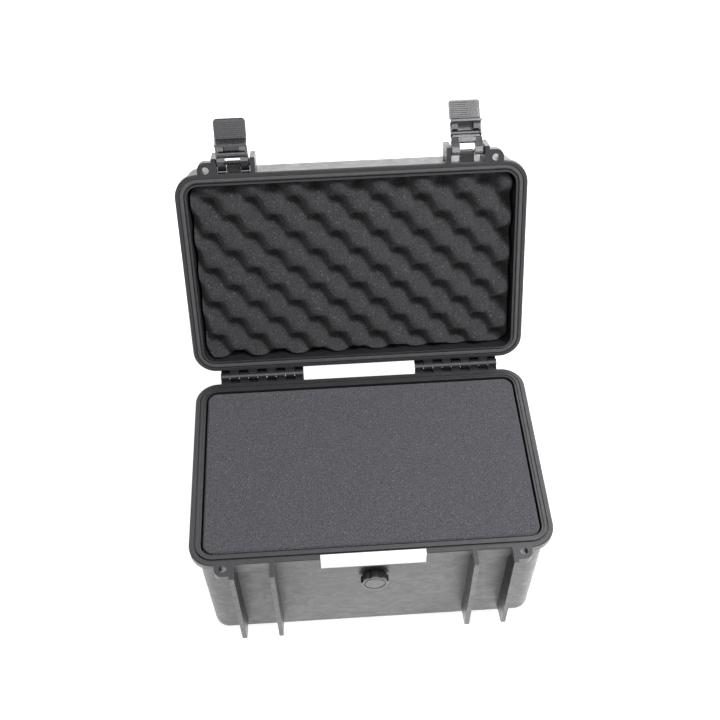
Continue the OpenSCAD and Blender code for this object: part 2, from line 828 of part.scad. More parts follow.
foam_top_z = base_h - foam_drop;
foam_mid_z = foam_top_z - foam_top_t;
foam_pad_z = wall + foam_pad_t;
foam_layer_gap = 0.1;

module base_foam_top() {
    color("#55565a")
    difference() {
        foam_block(foam_mid_z + foam_layer_gap, foam_top_z);
        valve_axis(valve_inner_y + nut_t + 3) cylinder(h = 20, r = valve_body_r + 6);
    }
}

module base_foam_middle() {
    color("#4d4e52") foam_block(foam_pad_z + foam_layer_gap, foam_mid_z);
}

module base_foam_pad() {
    color("#47484c") foam_block(wall + foam_layer_gap, foam_pad_z);
}

// Convoluted foam: a grid of points whose height follows two crossed waves
lid_foam_z = lid_top_z - wall - foam_layer_gap;
lid_foam_in = lid_lip_in + lid_draft + foam_gap;
bump_mid_z = lid_z + bump_drop + bump_h / 2;
foam_nx = 46;
foam_ny = 24;
foam_corner = 9;
foam_hx = rim_w / 2 - lid_foam_in;
foam_hy = rim_d / 2 - lid_foam_in;
bump_x0 = -15.2;
bump_y0 = -61.5;

function foam_trim(y) =
    let (past = max(0, abs(y) - (foam_hy - foam_corner)))
    foam_corner - sqrt(foam_corner * foam_corner - past * past);
function foam_y(j) = foam_hy * (2 * j / foam_ny - 1);
function foam_x(i, y) = (foam_hx - foam_trim(y)) * (2 * i / foam_nx - 1);
function bump_z(x, y) =
    let (u = x * cos(bump_skew) + y * sin(bump_skew), v = y * cos(bump_skew) - x * sin(bump_skew))
    bump_mid_z + bump_h / 2 * cos(360 * (u - bump_x0) / bump_pitch_x) * cos(360 * (v - bump_y0) / bump_pitch_y);

function foam_point(i, j) =
    let (y = foam_y(j), x = foam_x(i, y))
    [x, y, bump_z(x, y)];

module lid_foam_block() {
    row = foam_nx + 1;
    count = row * (foam_ny + 1);
    face_points = [for (j = [0:foam_ny], i = [0:foam_nx]) foam_point(i, j)];
    back_points = [for (j = [0, foam_ny], i = [0, foam_nx]) [foam_x(i, foam_y(j)), foam_y(j), lid_foam_z]];
    side_points = [for (j = [1:foam_ny - 1], i = [0, foam_nx]) [foam_x(i, foam_y(j)), foam_y(j), lid_foam_z]];
    left_back = [count, for (j = [1:foam_ny - 1]) count + 4 + 2 * (j - 1), count + 2];
    right_back = [count + 1, for (j = [1:foam_ny - 1]) count + 5 + 2 * (j - 1), count + 3];
    face = [for (j = [0:foam_ny - 1], i = [0:foam_nx - 1])
        let (a = j * row + i)
        each [[a, a + 1, a + row + 1], [a, a + row + 1, a + row]]];
    front_side = [concat([count, count + 1], [for (i = [foam_nx:-1:0]) i])];
    rear_side = [concat([count + 3, count + 2], [for (i = [0:foam_nx]) foam_ny * row + i])];
    left_side = [for (j = [0:foam_ny - 1]) each [
        [left_back[j], j * row, (j + 1) * row], [left_back[j], (j + 1) * row, left_back[j + 1]]]];
    right_side = [for (j = [0:foam_ny - 1]) each [
        [right_back[j], (j + 1) * row + foam_nx, j * row + foam_nx],
        [right_back[j], right_back[j + 1], (j + 1) * row + foam_nx]]];
    back = [for (j = [0:foam_ny - 1]) each [
        [left_back[j], left_back[j + 1], right_back[j + 1]], [left_back[j], right_back[j + 1], right_back[j]]]];
    polyhedron(concat(face_points, back_points, side_points),
        concat(face, front_side, rear_side, left_side, right_side, back));
}

module lid_foam() {
    color("#3c3d42") open_with_lid() lid_foam_block();
}

// ---------- handle, hanging straight down from the open lid ----------

handle_hang = lid_open - 90;
core_bar_r = 4.4;

module place_handle() {
    open_with_lid() translate([0, handle_axis_y, handle_axis_z]) rotate([handle_hang, 0, 0]) children();
}

module handle_frame() {
    leg_x = handle_w / 2;
    color("#2a2b2e") place_handle()
    difference() {
        union() {
            both_sides() {
                bar_x(leg_x - leg_w / 2, leg_w, 0, 0, leg_t / 2 + 0.8);
                translate([leg_x - leg_w / 2, 0, -leg_t / 2]) cube([leg_w, handle_reach, leg_t]);
                bar_x(leg_x - leg_w / 2, leg_w, handle_reach, 0, grip_r);
                bar_x(grip_len / 2 + 0.1, leg_x - grip_len / 2, handle_reach, 0, grip_r);
            }
            bar_x(-leg_x, 2 * leg_x, handle_reach, 0, core_bar_r);
        }
        bar_x(-leg_x - leg_w, 2 * leg_x + 2 * leg_w, 0, 0, handle_pin_r + run_gap);
    }
}

module handle_grip() {
    color("#1e1f21") place_handle() translate([0, handle_reach, 0]) rotate([0, 90, 0])
    difference() {
        cylinder(h = grip_len, r = grip_r + 0.3, center = true);
        cylinder(h = grip_len + 2, r = core_bar_r + hold_gap, center = true);
    }
}

module handle_pin_right() {
    pin_len = leg_w + 2 * lug_gap + 2 * lug_t - 0.6;
    color("#c8c8c4") open_with_lid() bar_x(handle_w / 2 - pin_len / 2, pin_len, handle_axis_y, handle_axis_z, handle_pin_r);
}

module handle_pin_left() {
    mirror([1, 0, 0]) handle_pin_right();
}

base_shell();
lid_shell();
lid_gasket();
hinge_pin_left();
hinge_pin_right();
latch_left_link();
latch_left_lever();
latch_left_pivot_pins();
latch_left_lever_pin();
latch_right_link();
latch_right_lever();
latch_right_pivot_pins();
latch_right_lever_pin();
valve_body();
valve_nut();
valve_membrane();
valve_oring();
valve_knob();
label_plate();
base_foam_top();
base_foam_middle();
base_foam_pad();
lid_foam();
handle_frame();
handle_grip();
handle_pin_left();
handle_pin_right();
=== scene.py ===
"""Dressed model of a small moulded microphone case with its lid open."""

import json
import math

import bpy
import numpy as np
from bpy.props import FloatProperty, FloatVectorProperty, IntProperty, PointerProperty, StringProperty
from mathutils import Matrix, Vector


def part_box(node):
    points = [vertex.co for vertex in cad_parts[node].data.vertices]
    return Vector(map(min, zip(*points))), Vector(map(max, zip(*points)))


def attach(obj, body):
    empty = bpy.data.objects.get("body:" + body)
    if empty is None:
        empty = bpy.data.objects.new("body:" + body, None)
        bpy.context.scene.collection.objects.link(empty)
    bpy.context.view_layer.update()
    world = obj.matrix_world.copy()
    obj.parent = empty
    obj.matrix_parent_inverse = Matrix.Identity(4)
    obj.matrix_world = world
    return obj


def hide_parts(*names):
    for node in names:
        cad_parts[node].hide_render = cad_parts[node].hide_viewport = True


bl_info = {
    "name": "Microphone case",
    "version": (1, 0, 0),
    "blender": (4, 5, 0),
    "location": "3D View > Sidebar > Case",
    "description": "Finishes the shells, latches, valve, handle and foam of a small moulded case",
    "category": "Object",
}

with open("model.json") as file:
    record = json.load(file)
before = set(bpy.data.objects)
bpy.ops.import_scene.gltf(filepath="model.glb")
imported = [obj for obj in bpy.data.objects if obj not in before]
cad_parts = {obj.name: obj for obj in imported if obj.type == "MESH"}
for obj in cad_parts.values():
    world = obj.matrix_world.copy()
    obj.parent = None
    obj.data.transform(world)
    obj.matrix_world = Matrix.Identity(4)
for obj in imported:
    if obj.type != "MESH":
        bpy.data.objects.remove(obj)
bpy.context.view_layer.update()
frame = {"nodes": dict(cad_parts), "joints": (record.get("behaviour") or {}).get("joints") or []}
MM = 0.001

# Places and sizes that hold the scene together, in metres unless they say otherwise
LID_OPEN = math.radians(114.2)
FOAM_CORNER = 9 * MM
LID_FOAM_BACK = 173.9 * MM
LID_FOAM_HALF = (137.8 * MM, 80.3 * MM)
LID_FOAM_THICKNESS = 35.6 * MM
BUMP_ORIGIN = (3.1 * MM, 61.5 * MM, 0.25)
COARSE_GRID = 6 * MM
HELD_EDGE = 9 * MM
POLISHED_REACH = (5.0 * MM, 7.0 * MM)
POLISHED_ROUGHNESS = 0.2
FLOOR_SIDE, FLOOR_FRONT, FLOOR_BACK, FLOOR_DEPTH = 1.6, -0.9, 3.0, -0.0002
FLOOR_GLOW_TO_EYE = 0.8
GLOW_REACH = 0.25
SOFTBOX_PLACE, SOFTBOX_SIZE = (0.7, -0.22, 1.4), 0.38
FRONT_LAMP_PLACE, FRONT_LAMP_SIZE = (0.5, -1.3, 1.1), 0.8
LAMP_AIM = Vector((0, 0.03, 0.15))
SWEEP_WAY = Vector((0.45, 0.85, 0.28)).normalized()
PANEL_WAY = Vector((0.03, -0.62, 0.78)).normalized()


# ---------- sizes and colours a user would change ----------


class CaseColours(bpy.types.PropertyGroup):
    """Colours of the case, written as sRGB hex values."""

    shell: StringProperty(name="Shell", description="Moulded shells", default="232225")
    latch: StringProperty(name="Latch", description="Latch links and levers", default="2b2a2f")
    valve: StringProperty(name="Valve", description="Valve knob and body", default="242426")
    rubber: StringProperty(name="Rubber", description="Soft grip and valve ring", default="2a2a2c")
    seal: StringProperty(name="Seal", description="Seal band in the lid's rim", default="484749")
    steel: StringProperty(name="Steel", description="Hinge and latch pins", default="b4b3af")
    base_foam: StringProperty(name="Base foam", description="Flat foam in the base", default="504f54")
    lid_foam: StringProperty(name="Lid foam", description="Egg-crate foam in the lid", default="39393b")
    plate: StringProperty(name="Plate", description="Blank plate on the rim", default="ffffff")


class FoamSizes(bpy.types.PropertyGroup):
    """Sizes of the foam lining."""

    pitch_x: FloatProperty(
        name="Bump pitch X", description="From peak to peak, side to side", default=36.6 * MM, unit="LENGTH"
    )
    pitch_y: FloatProperty(
        name="Bump pitch Y", description="From peak to peak, front to back", default=32.5 * MM, unit="LENGTH"
    )
    bump_height: FloatProperty(name="Bump height", description="From pit to peak", default=16 * MM, unit="LENGTH")
    fullness: FloatProperty(
        name="Bump fullness", description="1 for an even wave, more for broad peaks and narrow pits", default=1.5, min=1
    )
    ridge_lean: FloatProperty(
        name="Ridge lean",
        description="How far the bumps join into ridges along one diagonal",
        default=0.1,
        min=0,
        max=1,
    )
    sag: FloatVectorProperty(
        name="Sag", description="How far the peaks sink when the lid stands open", default=(-1.5 * MM, -4.5 * MM, 0),
        subtype="TRANSLATION",
    )
    skew: FloatProperty(
        name="Skew", description="How far the rows of bumps run askew", default=math.radians(1.8), subtype="ANGLE"
    )
    cell: FloatProperty(name="Cell", description="Size of the foam's cells", default=0.8 * MM, unit="LENGTH")
    ruggedness: FloatProperty(
        name="Ruggedness", description="Height of the cut surface's unevenness", default=0.25 * MM, unit="LENGTH"
    )
    grid: FloatProperty(name="Grid", description="Spacing of the mesh's points", default=1.2 * MM, unit="LENGTH")


class StageSettings(bpy.types.PropertyGroup):
    """Camera and lamps."""

    lens: FloatProperty(name="Lens", description="Focal length on a 36 mm sensor", default=50.72, min=20, max=200)
    camera_place: FloatVectorProperty(
        name="Camera", description="Where the camera stands", default=(-0.02797, -0.4822, 0.8724), subtype="TRANSLATION"
    )
    camera_turn: FloatVectorProperty(
        name="Turn",
        description="How the camera is turned",
        default=tuple(math.radians(a) for a in (38.8307, 0.5549, -3.5354)),
        subtype="EULER",
    )
    softbox_power: FloatProperty(
        name="Softbox", description="Power of the large lamp overhead", default=21.0, unit="POWER"
    )
    front_power: FloatProperty(
        name="Front lamp", description="Power of the weak lamp in front", default=0.6, unit="POWER"
    )
    sky: FloatProperty(name="Sky", description="Strength of the white surroundings", default=0.45, min=0, max=2)
    room: FloatProperty(
        name="Room", description="What gloss shows of the room before the table", default=0.3, min=0, max=2
    )
    sweep: FloatProperty(
        name="Sweep", description="What gloss shows of the white sweep behind the table", default=5.4, min=0, max=8
    )
    panel: FloatProperty(
        name="Panel", description="What gloss shows of the panel above the camera", default=2.4, min=0, max=6
    )
    table_glow: FloatProperty(
        name="Table glow", description="Extra white that gloss shows on the table", default=2.5, min=0, max=4
    )


class CaseSettings(bpy.types.PropertyGroup):
    """All settings of the case."""

    colours: PointerProperty(type=CaseColours)
    foam: PointerProperty(type=FoamSizes)
    stage: PointerProperty(type=StageSettings)


# ---------- small helpers ----------


def linear(hex_colour):
    """sRGB hex value to linear RGBA."""
    channels = [int(hex_colour[i : i + 2], 16) / 255 for i in (0, 2, 4)]
    return [c / 12.92 if c <= 0.04045 else ((c + 0.055) / 1.055) ** 2.4 for c in channels] + [1.0]


def shade(colour, factor):
    """A linear colour made lighter or darker."""
    return [min(c * factor, 1.0) for c in colour[:3]] + [1.0]


def add_node(tree, kind, inputs=None, **settings):
    """Adds a node with its settings. An input given as a socket is linked, any other value is set."""
    made = tree.nodes.new(kind)
    for name, value in settings.items():
        setattr(made, name, value)
    for key, value in (inputs or {}).items():
        if isinstance(value, bpy.types.NodeSocket):
            tree.links.new(value, made.inputs[key])
        else:
            made.inputs[key].default_value = value
    return made


def new_material(name):
    """An empty node material and its tree."""
    material = bpy.data.materials.new(name)
    material.use_nodes = True
    material.node_tree.nodes.clear()
    return material, material.node_tree


def close_material(tree, surface):
    add_node(tree, "ShaderNodeOutputMaterial", {"Surface": surface})


def finish_nodes(material, *names):
    """Gives CAD nodes a material."""
    for name in names:
        for place in frame["nodes"][name].material_slots:
            place.material = material


def settings():
    return bpy.context.scene.case_settings


# ---------- materials ----------


def moulded_plastic(name, hex_colour, roughness, grain_mm, grain_height_mm, edge_wear_and_highlight, scuffs, gloss=0.5, polished=None):
    """Injection-moulded ABS or polypropylene from a spark-eroded mould.

    The eye sees a very fine even grain, a soft broad shine, slightly lighter edges, which are partly rubbed
    wear and partly a painted highlight, and faint curled handling marks. What lies close round the line along X
    through the polished point, given as its Y and Z, is rubbed smooth, as hinge knuckles are.
    """
    material, tree = new_material(name)
    base = linear(hex_colour)
    place = add_node(tree, "ShaderNodeTexCoord").outputs["Object"]
    clouds = add_node(tree, "ShaderNodeTexNoise", {"Vector": place, "Scale": 1 / 0.035, "Detail": 3.0})
    streak_place = add_node(tree, "ShaderNodeMapping", {"Vector": place, "Scale": (70.0, 70.0, 150.0)})
    streaks = add_node(
        tree,
        "ShaderNodeTexNoise",
        {"Vector": streak_place.outputs[0], "Scale": 1.0, "Detail": 6.0, "Roughness": 0.65, "Distortion": 1.6},
    )
    marks = add_node(
        tree,
        "ShaderNodeMapRange",
        {"Value": streaks.outputs["Fac"], "From Min": 0.52, "From Max": 0.78, "To Max": scuffs},
    )
    cloudy = add_node(
        tree,
        "ShaderNodeMix",
        {0: clouds.outputs["Fac"], 6: shade(base, 0.86), 7: shade(base, 1.14)},
        data_type="RGBA",
    )
    marked = add_node(
        tree,
        "ShaderNodeMix",
        {0: marks.outputs[0], 6: cloudy.outputs[2], 7: shade(base, 1.9)},
        data_type="RGBA",
    )
    # Edges lighter, partly as rubbed wear and partly as a painted highlight: where a rounded normal leaves the true
    # one, the surface is an edge
    rounded = add_node(tree, "ShaderNodeBevel", {"Radius": 0.7 * MM}, samples=4)
    true = add_node(tree, "ShaderNodeNewGeometry")
    alike = add_node(
        tree, "ShaderNodeVectorMath", {0: rounded.outputs[0], 1: true.outputs["Normal"]}, operation="DOT_PRODUCT"
    )
    edge = add_node(
        tree,
        "ShaderNodeMapRange",
        {"Value": alike.outputs["Value"], "From Min": 0.995, "From Max": 0.80, "To Min": 0.0, "To Max": edge_wear_and_highlight},
    )
    worn_and_highlit = add_node(
        tree, "ShaderNodeMix", {0: edge.outputs[0], 6: marked.outputs[2], 7: shade(base, 2.2)}, data_type="RGBA"
    )
    grain = add_node(tree, "ShaderNodeTexNoise", {"Vector": place, "Scale": 1000 / grain_mm, "Detail": 2.0})
    soft_normal = add_node(tree, "ShaderNodeBevel", {"Radius": 0.35 * MM}, samples=4)
    bump = add_node(
        tree,
        "ShaderNodeBump",
        {
            "Height": grain.outputs["Fac"],
            "Distance": grain_height_mm * MM,
            "Strength": 0.6,
            "Normal": soft_normal.outputs[0],
        },
    )
    shine = add_node(
        tree,
        "ShaderNodeMapRange",
        {
            "Value": streaks.outputs["Fac"],
            "From Min": 0.3,
            "From Max": 0.7,
            "To Min": roughness + 0.09,
            "To Max": roughness - 0.09,
        },
    ).outputs[0]
    if polished:
        from_point = add_node(tree, "ShaderNodeVectorMath", {0: place, 1: (0, *polished)}, operation="SUBTRACT")
        to_line = add_node(
            tree, "ShaderNodeVectorMath", {0: from_point.outputs[0], 1: (0.0, 1.0, 1.0)}, operation="MULTIPLY"
        )
        distance = add_node(tree, "ShaderNodeVectorMath", {0: to_line.outputs[0]}, operation="LENGTH")
        shine = add_node(
            tree,
            "ShaderNodeMapRange",
            {
                "Value": distance.outputs["Value"],
                "From Min": POLISHED_REACH[0],
                "From Max": POLISHED_REACH[1],
                "To Min": POLISHED_ROUGHNESS,
                "To Max": shine,
            },
        ).outputs[0]
    body = add_node(
        tree,
        "ShaderNodeBsdfPrincipled",
        {
            "Base Color": worn_and_highlit.outputs[2],
            "Roughness": shine,
            "IOR": 1.5,
            "Specular IOR Level": gloss,
            "Normal": bump.outputs[0],
        },
    )
    close_material(tree, body.outputs[0])
    return material


def cut_foam(name, hex_colour, cell):
    """Open-cell polyurethane foam, cut with a knife.

    The eye sees no shine and a fine even speckle of cell walls and pores; a few cells get a painted highlight, a pale
    tint in the colour.
    """
    material, tree = new_material(name)
    base = linear(hex_colour)
    place = add_node(tree, "ShaderNodeTexCoord").outputs["Object"]
    cells = add_node(tree, "ShaderNodeTexVoronoi", {"Vector": place, "Scale": 1 / cell}, feature="F1")
    fine = add_node(tree, "ShaderNodeTexNoise", {"Vector": place, "Scale": 0.9 / cell, "Detail": 2.0, "Roughness": 0.6})
    speckle = add_node(tree, "ShaderNodeMapRange", {"Value": fine.outputs["Fac"], "From Min": 0.3, "From Max": 0.7})
    speckled = add_node(
        tree, "ShaderNodeMix", {0: speckle.outputs[0], 6: shade(base, 0.4), 7: shade(base, 1.7)}, data_type="RGBA"
    )
    # Painted highlights: a few random cells are lightened towards a pale tint, in place of cell walls that catch the
    # light
    painted_glint_draw = add_node(tree, "ShaderNodeSeparateColor", {"Color": cells.outputs["Color"]})
    painted_glint = add_node(
        tree, "ShaderNodeMapRange", {"Value": painted_glint_draw.outputs[0], "From Min": 0.965, "From Max": 1.0, "To Max": 0.22}
    )
    painted_glint_tint = add_node(
        tree, "ShaderNodeMix", {0: painted_glint_draw.outputs[1], 6: linear("a9b4c8"), 7: linear("c2bfb2")}, data_type="RGBA"
    )
    with_painted_glints = add_node(
        tree, "ShaderNodeMix", {0: painted_glint.outputs[0], 6: speckled.outputs[2], 7: painted_glint_tint.outputs[2]}, data_type="RGBA"
    )
    bump = add_node(tree, "ShaderNodeBump", {"Height": fine.outputs["Fac"], "Distance": 0.5 * MM, "Strength": 0.6})
    body = add_node(
        tree,
        "ShaderNodeBsdfPrincipled",
        {
            "Base Color": with_painted_glints.outputs[2],
            "Roughness": 0.97,
            "Specular IOR Level": 0.15,
            "Sheen Weight": 0.1,
            "Normal": bump.outputs[0],
        },
    )
    close_material(tree, body.outputs[0])
    return material


def ground_steel(name, hex_colour):
    """Centreless-ground stainless steel: bright, with very fine marks round the pin."""
    material, tree = new_material(name)
    place = add_node(tree, "ShaderNodeTexCoord").outputs["Object"]
    lines = add_node(tree, "ShaderNodeMapping", {"Vector": place, "Scale": (9000.0, 300.0, 300.0)})
    marks = add_node(tree, "ShaderNodeTexNoise", {"Vector": lines.outputs[0], "Scale": 1.0, "Detail": 2.0})
    shine = add_node(tree, "ShaderNodeMapRange", {"Value": marks.outputs["Fac"], "To Min": 0.22, "To Max": 0.42})
    bump = add_node(tree, "ShaderNodeBump", {"Height": marks.outputs["Fac"], "Distance": 0.01 * MM, "Strength": 0.4})
    body = add_node(
        tree,
        "ShaderNodeBsdfPrincipled",
        {"Base Color": linear(hex_colour), "Metallic": 1.0, "Roughness": shine.outputs[0], "Normal": bump.outputs[0]},
    )
    close_material(tree, body.outputs[0])
    return material


def rubber(name, hex_colour):
    """Moulded EPDM rubber: matt, with a trace of dust."""
    material, tree = new_material(name)
    base = linear(hex_colour)
    place = add_node(tree, "ShaderNodeTexCoord").outputs["Object"]
    dust = add_node(tree, "ShaderNodeTexNoise", {"Vector": place, "Scale": 220.0, "Detail": 4.0})
    colour = add_node(
        tree, "ShaderNodeMix", {0: dust.outputs["Fac"], 6: shade(base, 0.8), 7: shade(base, 1.4)}, data_type="RGBA"
    )
    bump = add_node(tree, "ShaderNodeBump", {"Height": dust.outputs["Fac"], "Distance": 0.05 * MM, "Strength": 0.3})
    body = add_node(
        tree,
        "ShaderNodeBsdfPrincipled",
        {"Base Color": colour.outputs[2], "Roughness": 0.72, "IOR": 1.5, "Normal": bump.outputs[0]},
    )
    close_material(tree, body.outputs[0])
    return material


def plain_sheet(name, hex_colour, roughness):
    """Rigid white polyester sheet: even, slightly glossy, with a trace of unevenness."""
    material, tree = new_material(name)
    base = linear(hex_colour)
    place = add_node(tree, "ShaderNodeTexCoord").outputs["Object"]
    uneven = add_node(tree, "ShaderNodeTexNoise", {"Vector": place, "Scale": 90.0, "Detail": 2.0})
    colour = add_node(
        tree, "ShaderNodeMix", {0: uneven.outputs["Fac"], 6: shade(base, 0.97), 7: base}, data_type="RGBA"
    )
    bump = add_node(tree, "ShaderNodeBump", {"Height": uneven.outputs["Fac"], "Distance": 0.03 * MM, "Strength": 0.2})
    body = add_node(
        tree,
        "ShaderNodeBsdfPrincipled",
        {"Base Color": colour.outputs[2], "Roughness": roughness, "IOR": 1.5, "Normal": bump.outputs[0]},
    )
    close_material(tree, body.outputs[0])
    return material


# ---------- foam slabs, made with Geometry Nodes ----------


def rounded_sheet(name, half_x, half_y, corner, spacing):
    """A flat sheet with rounded corners. Each point knows how far it lies from the sheet's edge."""
    nx, ny = max(8, round(2 * half_x / spacing)), max(8, round(2 * half_y / spacing))
    ys = np.linspace(-half_y, half_y, ny + 1)
    past = np.maximum(0, np.abs(ys) - (half_y - corner))
    reach = half_x - (corner - np.sqrt(np.maximum(corner**2 - past**2, 0)))
    xs = np.linspace(-1, 1, nx + 1)
    points = np.array([(x * r, y, 0.0) for y, r in zip(ys, reach) for x in xs])
    row = nx + 1
    faces = [
        (j * row + i, j * row + i + 1, (j + 1) * row + i + 1, (j + 1) * row + i) for j in range(ny) for i in range(nx)
    ]
    mesh = bpy.data.meshes.new(name)
    mesh.from_pydata(points.tolist(), [], faces)
    edge = np.minimum(np.repeat(reach, row) - np.abs(points[:, 0]), half_y - np.abs(points[:, 1]))
    mesh.attributes.new("to_edge", "FLOAT", "POINT").data.foreach_set("value", edge.astype(np.float32))
    return mesh


def foam_tree():
    """Geometry Nodes tree that gives a flat sheet its thickness, rounded edge, bumps, sag and cut surface."""
    tree = bpy.data.node_groups.new("Foam slab", "GeometryNodeTree")
    tree.is_modifier = True
    tree.interface.new_socket("Geometry", in_out="INPUT", socket_type="NodeSocketGeometry")
    for label, kind in (
        ("Thickness", "Float"),
        ("Bump pitch", "Vector"),
        ("Bump origin", "Vector"),
        ("Bump height", "Float"),
        ("Bump fullness", "Float"),
        ("Ridge lean", "Float"),
        ("Sag", "Vector"),
        ("Skew", "Float"),
        ("Edge rounding", "Float"),
        ("Ruggedness", "Float"),
        ("Draw-in", "Float"),
        ("Material", "Material"),
    ):
        tree.interface.new_socket(label, in_out="INPUT", socket_type=f"NodeSocket{kind}")
    tree.interface.new_socket("Geometry", in_out="OUTPUT", socket_type="NodeSocketGeometry")
    given = add_node(tree, "NodeGroupInput").outputs
    up = add_node(tree, "ShaderNodeCombineXYZ", {"Z": given["Thickness"]})
    slab = add_node(
        tree, "GeometryNodeExtrudeMesh", {"Mesh": given["Geometry"], "Offset": up.outputs[0], "Individual": False}
    )
    # Bumps: two crossed waves, turned and placed
    point = add_node(tree, "GeometryNodeInputPosition").outputs[0]
    turned = add_node(
        tree, "ShaderNodeVectorRotate", {"Vector": point, "Angle": given["Skew"]}, rotation_type="Z_AXIS", invert=True
    )
    moved = add_node(
        tree, "ShaderNodeVectorMath", {0: turned.outputs[0], 1: given["Bump origin"]}, operation="SUBTRACT"
    )
    counted = add_node(tree, "ShaderNodeVectorMath", {0: moved.outputs[0], 1: given["Bump pitch"]}, operation="DIVIDE")
    phase = add_node(tree, "ShaderNodeVectorMath", {0: counted.outputs[0], "Scale": math.tau}, operation="SCALE")
    waves = add_node(tree, "ShaderNodeVectorMath", {0: phase.outputs[0]}, operation="COSINE")
    parts = add_node(tree, "ShaderNodeSeparateXYZ", {0: waves.outputs[0]})
    even = add_node(tree, "ShaderNodeMath", {0: parts.outputs[0], 1: parts.outputs[1]}, operation="MULTIPLY")
    # The rows lean together along one diagonal, so the bumps join into wavy ridges
    cross_waves = add_node(tree, "ShaderNodeVectorMath", {0: phase.outputs[0]}, operation="SINE")
    cross_parts = add_node(tree, "ShaderNodeSeparateXYZ", {0: cross_waves.outputs[0]})
    slanted = add_node(
        tree, "ShaderNodeMath", {0: cross_parts.outputs[0], 1: cross_parts.outputs[1]}, operation="MULTIPLY"
    )
    leaning = add_node(tree, "ShaderNodeMath", {0: slanted.outputs[0], 1: given["Ridge lean"]}, operation="MULTIPLY")
    crossed = add_node(tree, "ShaderNodeMath", {0: even.outputs[0], 1: leaning.outputs[0]}, operation="SUBTRACT")
    depth = add_node(
        tree,
        "ShaderNodeMapRange",
        {"Value": crossed.outputs[0], "From Min": 1.0, "From Max": -1.0, "To Min": 0.0, "To Max": 1.0},
    )
    fuller = add_node(tree, "ShaderNodeMath", {0: depth.outputs[0], 1: given["Bump fullness"]}, operation="POWER")
    fall_in = add_node(tree, "ShaderNodeMath", {0: fuller.outputs[0], 1: given["Bump height"]}, operation="MULTIPLY")
    bumps = add_node(tree, "ShaderNodeMath", {0: 0.0, 1: fall_in.outputs[0]}, operation="SUBTRACT")
    # Unevenness of the cut
    coarse = add_node(tree, "ShaderNodeTexNoise", {"Vector": point, "Scale": 1 / (7 * MM), "Detail": 3.0})
    centred = add_node(tree, "ShaderNodeMath", {0: coarse.outputs["Fac"], 1: 0.5}, operation="SUBTRACT")
    rugged = add_node(tree, "ShaderNodeMath", {0: centred.outputs[0], 1: given["Ruggedness"]}, operation="MULTIPLY")
    # Edge: the surface falls away by a quarter round
    to_edge = add_node(tree, "GeometryNodeInputNamedAttribute", {"Name": "to_edge"}, data_type="FLOAT").outputs[0]
    inward = add_node(
        tree,
        "ShaderNodeMapRange",
        {"Value": to_edge, "From Max": given["Edge rounding"], "To Min": 1.0, "To Max": 0.0},
    )
    squared = add_node(tree, "ShaderNodeMath", {0: inward.outputs[0], 1: 2.0}, operation="POWER")
    fall = add_node(tree, "ShaderNodeMath", {0: squared.outputs[0], 1: given["Edge rounding"]}, operation="MULTIPLY")
    height = add_node(tree, "ShaderNodeMath", {0: bumps.outputs[0], 1: rugged.outputs[0]}, operation="ADD")
    lowered = add_node(tree, "ShaderNodeMath", {0: height.outputs[0], 1: fall.outputs[0]}, operation="SUBTRACT")
    # The tall bumps of an upright sheet sag a little, most at their peaks and not at all along the edge
    held = add_node(tree, "ShaderNodeMapRange", {"Value": to_edge, "From Max": HELD_EDGE}).outputs[0]
    peak = add_node(tree, "ShaderNodeMath", {0: 1.0, 1: fuller.outputs[0]}, operation="SUBTRACT")
    free = add_node(tree, "ShaderNodeMath", {0: peak.outputs[0], 1: held}, operation="MULTIPLY")
    sag = add_node(tree, "ShaderNodeVectorMath", {0: given["Sag"], "Scale": free.outputs[0]}, operation="SCALE")
    upright = add_node(tree, "ShaderNodeCombineXYZ", {"Z": lowered.outputs[0]})
    offset = add_node(tree, "ShaderNodeVectorMath", {0: upright.outputs[0], 1: sag.outputs[0]}, operation="ADD")
    shaped = add_node(
        tree,
        "GeometryNodeSetPosition",
        {"Geometry": slab.outputs["Mesh"], "Selection": slab.outputs["Top"], "Offset": offset.outputs[0]},
    )
    # The underside is the sheet itself, drawn in a little where the walls have draft
    shrink = add_node(tree, "ShaderNodeMath", {0: 1.0, 1: given["Draw-in"]}, operation="SUBTRACT")
    scale = add_node(tree, "ShaderNodeCombineXYZ", {"X": shrink.outputs[0], "Y": shrink.outputs[0], "Z": 1.0})
    under = add_node(tree, "GeometryNodeFlipFaces", {"Mesh": given["Geometry"]})
    closed = add_node(tree, "GeometryNodeJoinGeometry")
    tree.links.new(shaped.outputs[0], closed.inputs[0])
    tree.links.new(under.outputs[0], closed.inputs[0])
    merged = add_node(tree, "GeometryNodeMergeByDistance", {"Geometry": closed.outputs[0], "Distance": 0.01 * MM})
    place = add_node(tree, "GeometryNodeInputPosition").outputs[0]
    apart = add_node(tree, "ShaderNodeSeparateXYZ", {0: place})
    low = add_node(tree, "ShaderNodeMath", {0: apart.outputs[2], 1: 0.01 * MM}, operation="LESS_THAN")
    drawn = add_node(tree, "ShaderNodeVectorMath", {0: place, 1: scale.outputs[0]}, operation="MULTIPLY")
    tapered = add_node(
        tree,
        "GeometryNodeSetPosition",
        {"Geometry": merged.outputs[0], "Selection": low.outputs[0], "Position": drawn.outputs[0]},
    )
    real = add_node(tree, "GeometryNodeRealizeInstances", {"Geometry": tapered.outputs[0]})
    painted = add_node(tree, "GeometryNodeSetMaterial", {"Geometry": real.outputs[0], "Material": given["Material"]})
    add_node(tree, "NodeGroupOutput", {0: painted.outputs[0]})
    return tree


def set_inputs(modifier, values):
    """Sets a modifier's inputs by their names in the tree."""
    for item in modifier.node_group.interface.items_tree:
        if item.item_type == "SOCKET" and item.in_out == "INPUT" and item.name in values:
            modifier[item.identifier] = values[item.name]


